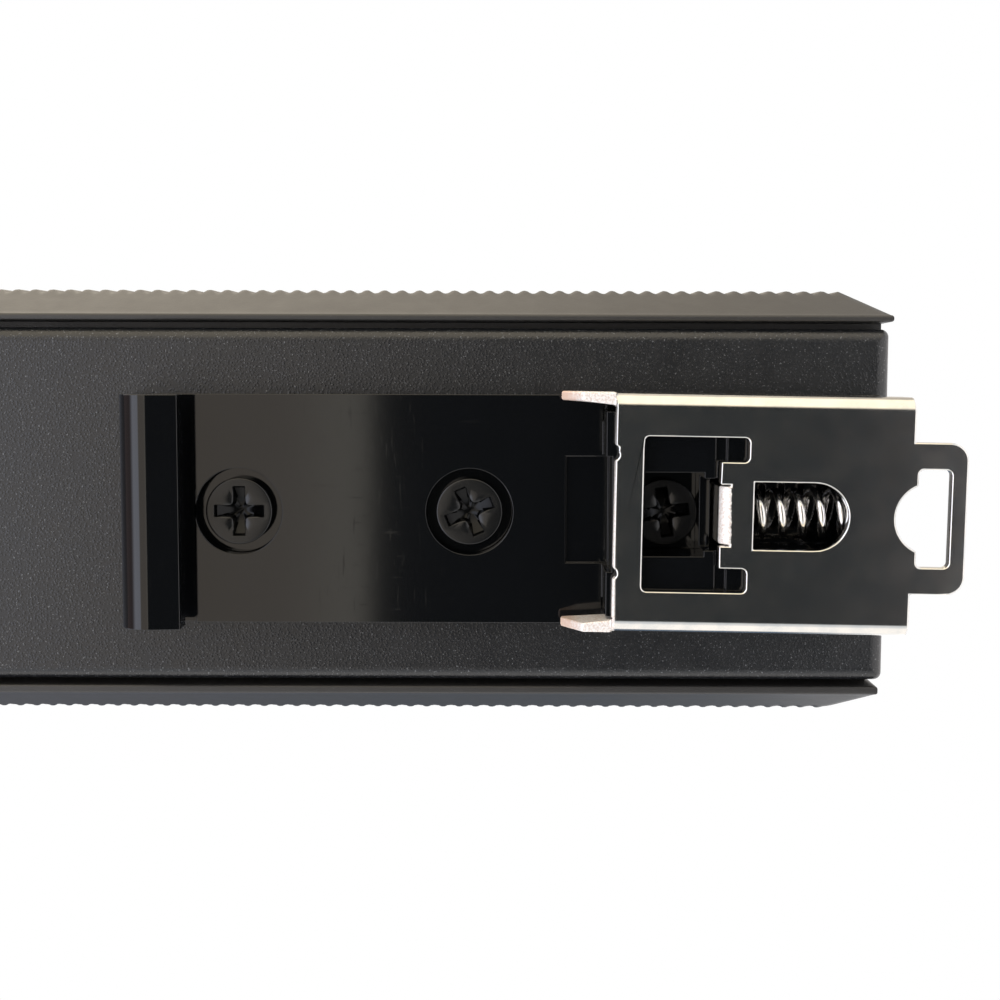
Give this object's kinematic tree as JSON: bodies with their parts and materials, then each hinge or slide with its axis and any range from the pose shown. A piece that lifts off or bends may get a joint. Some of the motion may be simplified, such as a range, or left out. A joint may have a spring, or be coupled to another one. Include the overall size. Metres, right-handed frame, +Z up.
{
  "type": "din rail ethernet switch",
  "caption": "Slim network switch in a black ribbed metal case, with a moulded rail bracket and a sprung metal release clip on its back.",
  "frame": {"origin": "middle of the rail seat, on the rear face of the bracket base plate", "axes": "+Z up along the height when mounted, +Y out of the back towards the rail, +X across the width"},
  "size_m": [0.0354, 0.0941, 0.1181],
  "materials": {
    "insert_plastic": "black moulded plastic",
    "black_screw": "blackened steel",
    "case_paint": "fine-grained black powder coat",
    "spring_steel": "drawn spring wire",
    "panel_plastic": "fine-grained black moulded plastic",
    "zinc_plate": "zinc-plated steel",
    "capacitor_sleeve": "sleeved aluminium can",
    "ferrite": "ferrite core",
    "contact_gold": "gold flash over bronze wire",
    "tin_plate": "tinned sheet",
    "clear_plastic": "clear moulded plastic",
    "board_laminate": "green lacquered laminate",
    "bracket_plastic": "smooth black moulded plastic",
    "nickel_plate": "bright nickel plate over sheet steel",
    "cover_coat": "matte black coated aluminium",
    "light_body": "pale moulded body",
    "chip_body": "moulded black package",
    "terminal_plastic": "green moulded plastic"
  },
  "bodies": {
    "switch": {"board_supports": "insert_plastic", "bracket_screws": "black_screw", "chassis": "case_paint", "clip_spring": "spring_steel", "front_panel": "panel_plastic", "ground_screw": "zinc_plate", "input_capacitor_1": "capacitor_sleeve", "input_capacitor_2": "capacitor_sleeve", "input_choke": "ferrite", "jack_contacts_1": "contact_gold", "jack_contacts_2": "contact_gold", "jack_contacts_3": "contact_gold", "jack_contacts_4": "contact_gold", "jack_contacts_5": "contact_gold", "jack_insert_1": "insert_plastic", "jack_insert_2": "insert_plastic", "jack_insert_3": "insert_plastic", "jack_insert_4": "insert_plastic", "jack_insert_5": "insert_plastic", "jack_shell_1": "tin_plate", "jack_shell_2": "tin_plate", "jack_shell_3": "tin_plate", "jack_shell_4": "tin_plate", "jack_shell_5": "tin_plate", "light_bar": "clear_plastic", "main_board": "board_laminate", "rail_bracket": "bracket_plastic", "regulator_coil": "ferrite", "side_cover_left": "cover_coat", "side_cover_right": "cover_coat", "status_lights": "light_body", "switch_chip": "chip_body", "terminal_block": "terminal_plastic", "terminal_clamps": "zinc_plate", "terminal_screws": "zinc_plate", "transformer_1": "chip_body", "transformer_2": "chip_body", "transformer_3": "chip_body"},
    "clip": {"release_clip": "nickel_plate"}
  },
  "joints": [
    {"name": "clip_slide", "type": "slide", "parent": "switch", "child": "clip", "axis": [0, 0, -1], "range_m": [0, 0.0035], "stiffness_N_per_m": 1500, "springref_m": -0.003, "deforming": ["clip_spring"]}
  ]
}
